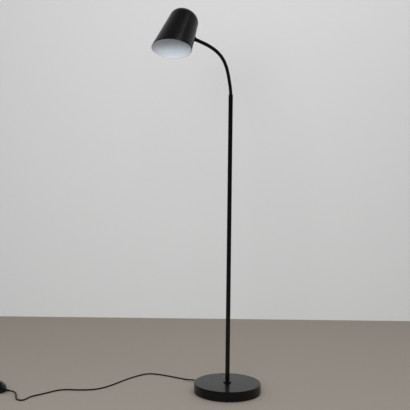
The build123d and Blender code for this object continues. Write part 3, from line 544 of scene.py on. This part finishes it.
dressing = {
    "shadedBlackCoat": ["base_cover", "pole", "pole_collar", "neck_coupler", "neck_end_fitting", "neck_set_screw"],
    "powderCoat": ["shade"],
    "leadSkin": ["inner_cable", "shade_cable"],
    "switchPlastic": ["switch_base", "switch_housing", "switch_button", "switch_block", "plug_body",
                      "cord_tie", "pole_foot_plug", "saddle_washer"],
    "softRubber": ["base_pad", "switch_feet", "lead_relief", "plug_relief", "switch_relief_in",
                   "switch_relief_out"],
    "castCement": ["base_weight"],
    "zincPlate": ["base_plate", "base_screws", "pole_stud", "pole_washer", "pole_lock_washer", "pole_nut",
                  "neck_nut", "holder_bracket", "holder_nut", "holder_nipple", "switch_screws",
                  "switch_spring"],
    "brass": ["holder_contact", "holder_terminals", "plug_pins"],
    "holderWhite": ["holder_cap", "holder_body"],
    "shellMetal": ["holder_thread_shell"],
}
dressing["shadedBlackCoat"] += [name for name in nodes if name.startswith("gooseneck_")]


def dress(piece, *names):
    piece.data.materials.clear()
    for name in names:
        piece.data.materials.append(materials[name])


for finishName, nodeNames in dressing.items():
    for nodeName in nodeNames:
        dress(nodes[nodeName], finishName)
dress(floorCord, "leadSkin")
dress(coilCord, "leadSkin")
dress(cordTie, "switchPlastic")
for relief in reliefs.values():
    dress(relief, "softRubber")
print("finishes made")


neckSettings = {
    "ribPitch": 0.0031,
    "ribsPerLength": 7,
    "ribsBefore": 3,          # ribs of a sleeve that lie before its joint
    "crestRadius": 0.0065,
    "grooveRadius": 0.0055,
    "sides": 40,
    "endLean": 77.0,          # lean of the last length, from upright
    "pathSteps": 24,
    "smoothUpTo": 60,
    "cableRadius": 0.0026,
    "cableSides": 16,
}
# one rib: height in its pitch and how far it stands out of the groove, both as shares
ribForm = [(0.0, 0.0), (0.14, 0.02), (0.23, 0.35), (0.30, 0.82), (0.39, 1.0), (0.61, 1.0), (0.70, 0.82),
           (0.77, 0.35), (0.86, 0.02), (1.0, 0.0)]
hinges = [Vector(joint["pos_m"]) for joint in frame["joints"] if joint["name"].startswith("neck_")]
neckBodies = ["stand", *[joint["child"] for joint in frame["joints"] if joint["name"].startswith("neck_")]]
lengthPitch = neckSettings["ribPitch"] * neckSettings["ribsPerLength"]
neckFoot = Vector((0, 0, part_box("neck_coupler")[1].z))
endLean = radians(neckSettings["endLean"])
endAlong = Vector((-sin(endLean), 0, cos(endLean)))
neckEnd = hinges[-1] + endAlong * lengthPitch


def makeNeckPath():
    # the line that the gooseneck follows, through every hinge and on past its end
    curve = bpy.data.curves.new("neckPath", "CURVE")
    curve.dimensions = "3D"
    curve.resolution_u = neckSettings["pathSteps"]
    spline = curve.splines.new("BEZIER")
    places = [neckFoot, *hinges, neckEnd, neckEnd + endAlong * lengthPitch]
    spline.bezier_points.add(len(places) - 1)
    for point, place in zip(spline.bezier_points, places):
        point.co = place
        point.handle_left_type = "AUTO"
        point.handle_right_type = "AUTO"
    path = bpy.data.objects.new("neckPath", curve)
    bpy.context.scene.collection.objects.link(path)
    return path


def bendAlong(piece, path):
    follow = piece.modifiers.new("follow", "CURVE")
    follow.object = path
    follow.deform_axis = "POS_Z"
    applyAll(piece)


def makeSleeve(name, firstRib, ribCount, path):
    # a run of ribs, set along the path
    settings = neckSettings
    stand = settings["crestRadius"] - settings["grooveRadius"]
    rings = [(share * settings["ribPitch"], settings["grooveRadius"] + out * stand) for share, out in ribForm]
    sleeve = growRings(rings, settings["sides"], name)
    sleeve.data.transform(Matrix.Translation((0, 0, firstRib * settings["ribPitch"])))
    ribs = sleeve.modifiers.new("ribs", "ARRAY")
    ribs.count = ribCount
    ribs.use_relative_offset = False
    ribs.use_constant_offset = True
    ribs.constant_offset_displace = (0, 0, settings["ribPitch"])
    ribs.use_merge_vertices = True
    ribs.merge_threshold = mergeWithin
    applyAll(sleeve)
    bendAlong(sleeve, path)
    pick(sleeve)
    bpy.ops.object.mode_set(mode="EDIT")
    bpy.ops.mesh.select_all(action="SELECT")
    bpy.ops.mesh.normals_make_consistent(inside=False)
    bpy.ops.object.mode_set(mode="OBJECT")
    smoothOver(sleeve, settings["smoothUpTo"])
    dress(sleeve, "shadedBlackCoat")
    return sleeve


def makeCableLength(name, firstRib, ribCount, path):
    # a length of the cable in the gooseneck's bore, ringed closely enough to bend
    settings = neckSettings
    pitch = settings["ribPitch"]
    rings = [((firstRib + step) * pitch, settings["cableRadius"]) for step in range(ribCount + 1)]
    cable = growRings(rings, settings["cableSides"], name)
    bendAlong(cable, path)
    closeEnds(cable)
    faceOutwards(cable)
    smoothOver(cable, settings["smoothUpTo"])
    dress(cable, "leadSkin")
    return cable


neckPath = makeNeckPath()
perLength, before = neckSettings["ribsPerLength"], neckSettings["ribsBefore"]
lastRib = perLength * (len(hinges) + 1)
for index in range(len(neckBodies)):
    firstRib = 0 if index == 0 else perLength * index - before
    nextRib = lastRib if index == len(hinges) else perLength * (index + 1) - before
    span = (firstRib, nextRib - firstRib, neckPath)
    sleeve = makeSleeve(f"neckSleeve{index:02d}", *span)
    cable = makeCableLength(f"neckCable{index:02d}", *span)
    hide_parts(f"gooseneck_{index + 1:02d}")
    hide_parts("neck_cable")
    if index == 0:
        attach(sleeve, neckBodies[0])
        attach(cable, neckBodies[0])
        continue
    # the other lengths keep their place baked into their mesh and are given to no body
    for piece in (sleeve, cable):
        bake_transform(piece)
print("gooseneck made")


shadeSettings = {
    "mouthRadius": 0.0658,
    "length": 0.157,
    "skirtShare": 1.3,        # how far the wall first runs past the mouth, before the slant cuts it
    "taper": 6.6,
    "wall": 0.0012,
    "rimBevel": 0.00025,
    "shoulder": 0.031,
    "crown": 0.150,
    "slant": 17.8,
    "axisPoint": 0.100,       # the bulb thread's place above the mouth's middle
    "sides": 128,
    "wallRings": 10,
    "shoulderRings": 14,
    "crownRings": 10,
    "fitSteps": 20,
    "rimSteps": 2,
    "edgesOver": 50,
    "smoothUpTo": 40,
}
shadeUp = -Vector(mounts["bulb_thread"]["axis"]).normalized()
mouthMiddle = Vector(mounts["bulb_thread"]["pos_m"]) - shadeUp * shadeSettings["axisPoint"]
acrossShade = (endAlong - shadeUp * endAlong.dot(shadeUp)).normalized()
besideShade = shadeUp.cross(acrossShade)
shadePlace = alongAxes(mouthMiddle, acrossShade, besideShade, shadeUp)


def shadeRings(settings):
    # straight tapered wall, round shoulder, shallow domed crown
    slope = tan(radians(settings["taper"]))
    skirt = -settings["skirtShare"] * settings["mouthRadius"] * tan(radians(settings["slant"]))
    crownMiddle = settings["length"] - settings["crown"]
    reach = settings["crown"] - settings["shoulder"]
    inset = settings["shoulder"] / cos(radians(settings["taper"]))
    # the shoulder's middle lies one shoulder radius inside both the wall and the crown
    height = settings["length"] - settings["shoulder"]
    for attempt in range(settings["fitSteps"]):
        aside = settings["mouthRadius"] - height * slope - inset
        height = crownMiddle + sqrt(reach**2 - aside**2)
    wallEnd = radians(settings["taper"])
    crownStart = atan2(height - crownMiddle, aside)
    wallTop = height + settings["shoulder"] * sin(wallEnd)
    rings = []
    for step in range(settings["wallRings"]):
        z = skirt + (wallTop - skirt) * step / settings["wallRings"]
        rings.append((z, settings["mouthRadius"] - z * slope))
    for step in range(settings["shoulderRings"] + 1):
        angle = wallEnd + (crownStart - wallEnd) * step / settings["shoulderRings"]
        rings.append((height + settings["shoulder"] * sin(angle), aside + settings["shoulder"] * cos(angle)))
    for step in range(1, settings["crownRings"]):
        angle = crownStart + (pi / 2 - crownStart) * step / settings["crownRings"]
        rings.append((crownMiddle + settings["crown"] * sin(angle), settings["crown"] * cos(angle)))
    return rings


def makeShade(settings):
    # the outside drawn up and cut at the slanted mouth, then given its wall and a rounded rim
    shade = growRings(shadeRings(settings), settings["sides"], "shadeShell", closeTop=True)
    slant = radians(settings["slant"])
    pick(shade)
    bpy.ops.object.mode_set(mode="EDIT")
    bpy.ops.mesh.select_all(action="SELECT")
    bpy.ops.mesh.bisect(plane_co=(0, 0, 0), plane_no=(sin(slant), 0, cos(slant)), clear_inner=True)
    bpy.ops.mesh.select_all(action="SELECT")
    bpy.ops.mesh.remove_doubles(threshold=mergeWithin)
    bpy.ops.mesh.normals_make_consistent(inside=False)
    bpy.ops.object.mode_set(mode="OBJECT")
    dress(shade, "powderCoat", "shadeInside")
    wall = shade.modifiers.new("wall", "SOLIDIFY")
    wall.thickness = settings["wall"]
    wall.offset = -1
    wall.use_even_offset = True
    wall.material_offset = 1
    rim = shade.modifiers.new("rim", "BEVEL")
    rim.width = settings["rimBevel"]
    rim.segments = settings["rimSteps"]
    rim.limit_method = "ANGLE"
    rim.angle_limit = radians(settings["edgesOver"])
    applyAll(shade)
    settle(shade, shadePlace)
    smoothOver(shade, settings["smoothUpTo"])
    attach(shade, "head")
    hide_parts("shade")


makeShade(shadeSettings)
print("shade made")


shellSettings = {
    "foot": 0.088,            # above the mouth's middle
    "length": 0.024,
    "radius": 0.01335,
    "wave": 0.00035,
    "pitch": 0.00356,
    "stepsPerPitch": 8,
    "turnSteps": 48,
    "wavesBelow": 2,          # waves drawn below the foot, to be cut off
    "spareWaves": 3,
    "wall": 0.0004,
    "smoothUpTo": 50,
}


def makeThreadShell(settings):
    # a rolled thread: a wavy line carried round the axis, one pitch up in each turn
    pitch, steps = settings["pitch"], settings["stepsPerPitch"]
    waves = int(settings["length"] / pitch) + settings["spareWaves"]
    clearSelection()
    bpy.ops.mesh.primitive_plane_add(size=0.001)
    shell = startPiece("threadShell")
    bpy.ops.object.mode_set(mode="EDIT")
    bpy.ops.mesh.select_all(action="SELECT")
    bpy.ops.mesh.merge(type="CENTER")
    foot = -settings["wavesBelow"] * pitch
    bpy.ops.transform.translate(value=(settings["radius"] + settings["wave"], 0, foot))
    for step in range(1, waves * steps + 1):
        bulge = settings["wave"] * (cos(2 * pi * step / steps) - cos(2 * pi * (step - 1) / steps))
        bpy.ops.mesh.extrude_vertices_move(TRANSFORM_OT_translate={"value": (bulge, 0, pitch / steps)})
    bpy.ops.object.mode_set(mode="OBJECT")
    thread = shell.modifiers.new("thread", "SCREW")
    thread.axis = "Z"
    thread.screw_offset = pitch
    thread.steps = settings["turnSteps"]
    thread.render_steps = settings["turnSteps"]
    thread.use_merge_vertices = True
    applyAll(shell)
    faceOutwards(shell)
    pick(shell)
    bpy.ops.object.mode_set(mode="EDIT")
    for height, side in ((0, {"clear_inner": True}), (settings["length"], {"clear_outer": True})):
        bpy.ops.mesh.select_all(action="SELECT")
        bpy.ops.mesh.bisect(plane_co=(0, 0, height), plane_no=(0, 0, 1), **side)
    bpy.ops.object.mode_set(mode="OBJECT")
    wall = shell.modifiers.new("wall", "SOLIDIFY")
    wall.thickness = settings["wall"]
    wall.offset = 0
    applyAll(shell)
    settle(shell, shadePlace @ Matrix.Translation((0, 0, settings["foot"])))
    faceOutwards(shell)
    smoothOver(shell, settings["smoothUpTo"])
    dress(shell, "shellMetal")
    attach(shell, "head")
    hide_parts("holder_thread_shell")


makeThreadShell(shellSettings)

shadeCableSettings = {
    # across and up from the mouth's middle, in the shade's own plane
    "points": [(-0.06155, 0.08846), (-0.0445, 0.0844), (-0.0335, 0.0824), (-0.0296, 0.089), (-0.0300, 0.104),
               (-0.0305, 0.122), (-0.0290, 0.1305), (-0.0200, 0.1310), (-0.0125, 0.1310)],
    "radius": 0.0026,
    "length": 0.092,
}
cableRoute = [mouthMiddle + acrossShade * aside + shadeUp * up for aside, up in shadeCableSettings["points"]]
shadeCable = makeCord("shadeCable", cableRoute, shadeCableSettings["radius"])
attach(shadeCable, "head")
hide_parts("shade_cable")
dress(shadeCable, "leadSkin")

springSettings = {
    "radius": 0.005,
    "wireRadius": 0.0005,
    "wireSides": 10,
    "turns": 4,
    "stepsPerTurn": 32,
    "smoothUpTo": 60,
}


def makeSpring(settings):
    # a round of wire carried up the axis from the block
    low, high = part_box("switch_spring")
    rise = high.z - low.z - 2 * settings["wireRadius"]
    clearSelection()
    bpy.ops.mesh.primitive_circle_add(vertices=settings["wireSides"], radius=settings["wireRadius"],
                                      location=(settings["radius"], 0, 0), rotation=(pi / 2, 0, 0))
    spring = startPiece("switchSpring")
    bpy.ops.object.transform_apply(location=True, rotation=True, scale=True)
    coil = spring.modifiers.new("coil", "SCREW")
    coil.axis = "Z"
    coil.screw_offset = rise / settings["turns"]
    coil.iterations = settings["turns"]
    coil.steps = settings["stepsPerTurn"]
    coil.render_steps = settings["stepsPerTurn"]
    applyAll(spring)
    settle(spring, Matrix.Translation((switchMiddle.x, switchMiddle.y, low.z + settings["wireRadius"])))
    closeEnds(spring)
    faceOutwards(spring)
    smoothOver(spring, settings["smoothUpTo"])
    dress(spring, "zincPlate")
    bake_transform(spring)
    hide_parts("switch_spring")
    return spring


switchSpring = makeSpring(springSettings)

buttonSettings = {
    "radius": 0.022,
    "edge": 0.005,
    "edgeSteps": 8,
    "wall": 0.0022,
    "flange": 0.003,
    "flangeHeight": 0.0025,
    "flangeFoot": 0.0233,     # above the floor
    "stemRadius": 0.0035,
    "innerRound": 0.003,      # under the cap, where its wall meets its top
    "dimple": 0.0006,         # the top is a little hollow, for a foot to find
    "dimpleShares": (0.3, 0.6, 0.85),
    "sides": 96,
    "smoothUpTo": 35,
}


def makeButton(settings):
    # a cap with a rounded edge and a stem, drawn up the stem, out under the cap and over its top
    low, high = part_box("switch_button")
    radius, edge, foot = settings["radius"], settings["edge"], settings["flangeFoot"]
    inside = radius - settings["wall"]
    ceiling = high.z - settings["wall"]
    stem, flange, turn = settings["stemRadius"], radius + settings["flange"], settings["innerRound"]
    shelf = foot + settings["flangeHeight"]
    rings = [(low.z, stem), (ceiling, stem), (ceiling, inside - turn), (ceiling - turn, inside),
             (foot, inside), (foot, flange), (shelf, flange), (shelf, radius)]
    for step in range(settings["edgeSteps"] + 1):
        angle = pi / 2 * step / settings["edgeSteps"]
        rings.append((high.z - edge + edge * sin(angle), radius - edge + edge * cos(angle)))
    for share in settings["dimpleShares"]:
        rings.append((high.z - settings["dimple"] * share**2, (radius - edge) * (1 - share)))
    button = growRings(rings, settings["sides"], "switchButton", closeTop=True, closeFoot=True)
    settle(button, Matrix.Translation((switchMiddle.x, switchMiddle.y, 0)))
    faceOutwards(button)
    smoothOver(button, settings["smoothUpTo"])
    dress(button, "switchPlastic")
    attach(button, "button")
    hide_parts("switch_button")
    return button


switchButton = makeButton(buttonSettings)
print("lampholder and switch parts made")

studio = {
    "floorColor": (0.300, 0.268, 0.232),
    "wallColor": (0.735, 0.742, 0.752),
    "wallDistance": 3.583,    # from the camera, where the picture's floor ends
    "paintRoughness": 0.85,
    "size": 24,
    "worldStrength": 0.52,
    "lamps": [
        # name, place (right, ahead, up) from the lamp, its aim height, size, power, seen in gloss
        ("frontFill", (-0.5, -3.2, 1.5), 0.9, 1.8, 48, False),
        ("topLamp", (0.2, 0.3, 3.4), 0.0, 3.0, 28, False),
        ("shadeFill", (-0.6, -2.4, 1.0), 1.25, 0.6, 17, False),
        ("sideBand", (2.0, -1.9, 3.9), 1.25, 1.1, 17, True),
    ],
}


def openFromBehind(paint):
    # the wall is one-sided, so a view from behind looks through it
    tree = paint.node_tree
    shader, output = tree.nodes["Principled BSDF"], tree.nodes["Material Output"]
    side = tree.nodes.new("ShaderNodeNewGeometry")
    clear = tree.nodes.new("ShaderNodeBsdfTransparent")
    choice = tree.nodes.new("ShaderNodeMixShader")
    tree.links.new(side.outputs["Backfacing"], choice.inputs["Fac"])
    tree.links.new(shader.outputs["BSDF"], choice.inputs[1])
    tree.links.new(clear.outputs["BSDF"], choice.inputs[2])
    tree.links.new(choice.outputs["Shader"], output.inputs["Surface"])


def makeStage(settings):
    # floor, wall, even light from all round, and the lamps
    clearSelection()
    bpy.ops.mesh.primitive_plane_add(size=settings["size"])
    floor = startPiece("floor")
    wallMiddle = cameraPlace + viewAhead * settings["wallDistance"]
    bpy.ops.mesh.primitive_plane_add(size=settings["size"], location=(wallMiddle.x, wallMiddle.y, 0),
                                     rotation=(pi / 2, 0, -radians(cameraSettings["bearing"])))
    wall = startPiece("wall")
    for piece, name, color in ((floor, "floorPaint", settings["floorColor"]),
                               (wall, "wallPaint", settings["wallColor"])):
        paint = bpy.data.materials.new(name)
        paint.use_nodes = True
        shader = paint.node_tree.nodes["Principled BSDF"]
        shader.inputs["Base Color"].default_value = (*color, 1)
        shader.inputs["Roughness"].default_value = settings["paintRoughness"]
        piece.data.materials.append(paint)
    openFromBehind(wall.data.materials[0])
    world = bpy.data.worlds.new("studioWorld")
    bpy.context.scene.world = world
    world.use_nodes = True
    world.node_tree.nodes["Background"].inputs["Color"].default_value = (1, 1, 1, 1)
    world.node_tree.nodes["Background"].inputs["Strength"].default_value = settings["worldStrength"]
    world.cycles_visibility.glossy = False
    for name, (aside, away, up), aim, size, power, inGloss in settings["lamps"]:
        light = bpy.data.lights.new(name, "AREA")
        light.size = size
        light.energy = power
        lamp = bpy.data.objects.new(name, light)
        bpy.context.scene.collection.objects.link(lamp)
        lamp.location = viewRight * aside + viewAhead * away + Vector((0, 0, up))
        lamp.rotation_euler = (Vector((0, 0, aim)) - lamp.location).to_track_quat("-Z", "Y").to_euler()
        lamp.visible_glossy = inGloss
        lamp.visible_camera = False


makeStage(studio)
bpy.context.scene.view_settings.view_transform = "Standard"
bpy.data.objects.remove(neckPath)
print("stage set")
